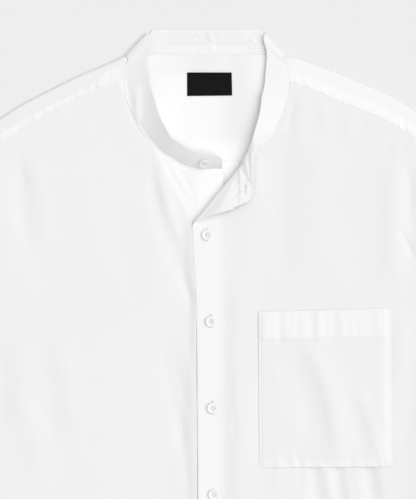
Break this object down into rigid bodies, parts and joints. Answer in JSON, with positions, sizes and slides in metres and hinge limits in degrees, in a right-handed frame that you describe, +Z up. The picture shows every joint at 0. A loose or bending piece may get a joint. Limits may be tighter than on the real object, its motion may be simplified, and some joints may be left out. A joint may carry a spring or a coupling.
{
  "type": "band collar shirt",
  "caption": "White cotton shirt with a standing band collar, buttoned front, chest pocket and long sleeves, laid flat on its back with the collar's left end turned open.",
  "frame": {"origin": "middle of the laid-out shirt, on the surface that it lies on", "axes": "+X towards the wearer's left sleeve, +Y towards the collar, +Z up from the surface, out of the wearer's chest"},
  "size_m": [1.3358, 0.76, 0.0191],
  "materials": {
    "cotton": "matte, slightly slubby plain weave",
    "label_satin": "soft woven satin, bare",
    "button_pearl": "polished, pearly"
  },
  "bodies": {
    "root": {"back": "cotton", "yoke": "cotton", "front_right": "cotton", "front_left": "cotton", "button_stand_right": "cotton", "placket_left": "cotton", "collar_band": "cotton", "pocket": "cotton", "sleeve_right": "cotton", "sleeve_left": "cotton", "cuff_right": "cotton", "cuff_left": "cotton", "neck_label": "label_satin", "button_collar": "button_pearl", "button_1": "button_pearl", "button_2": "button_pearl", "button_3": "button_pearl", "button_4": "button_pearl", "button_5": "button_pearl", "button_6": "button_pearl", "button_cuff_right": "button_pearl", "button_cuff_left": "button_pearl"}
  },
  "joints": []
}
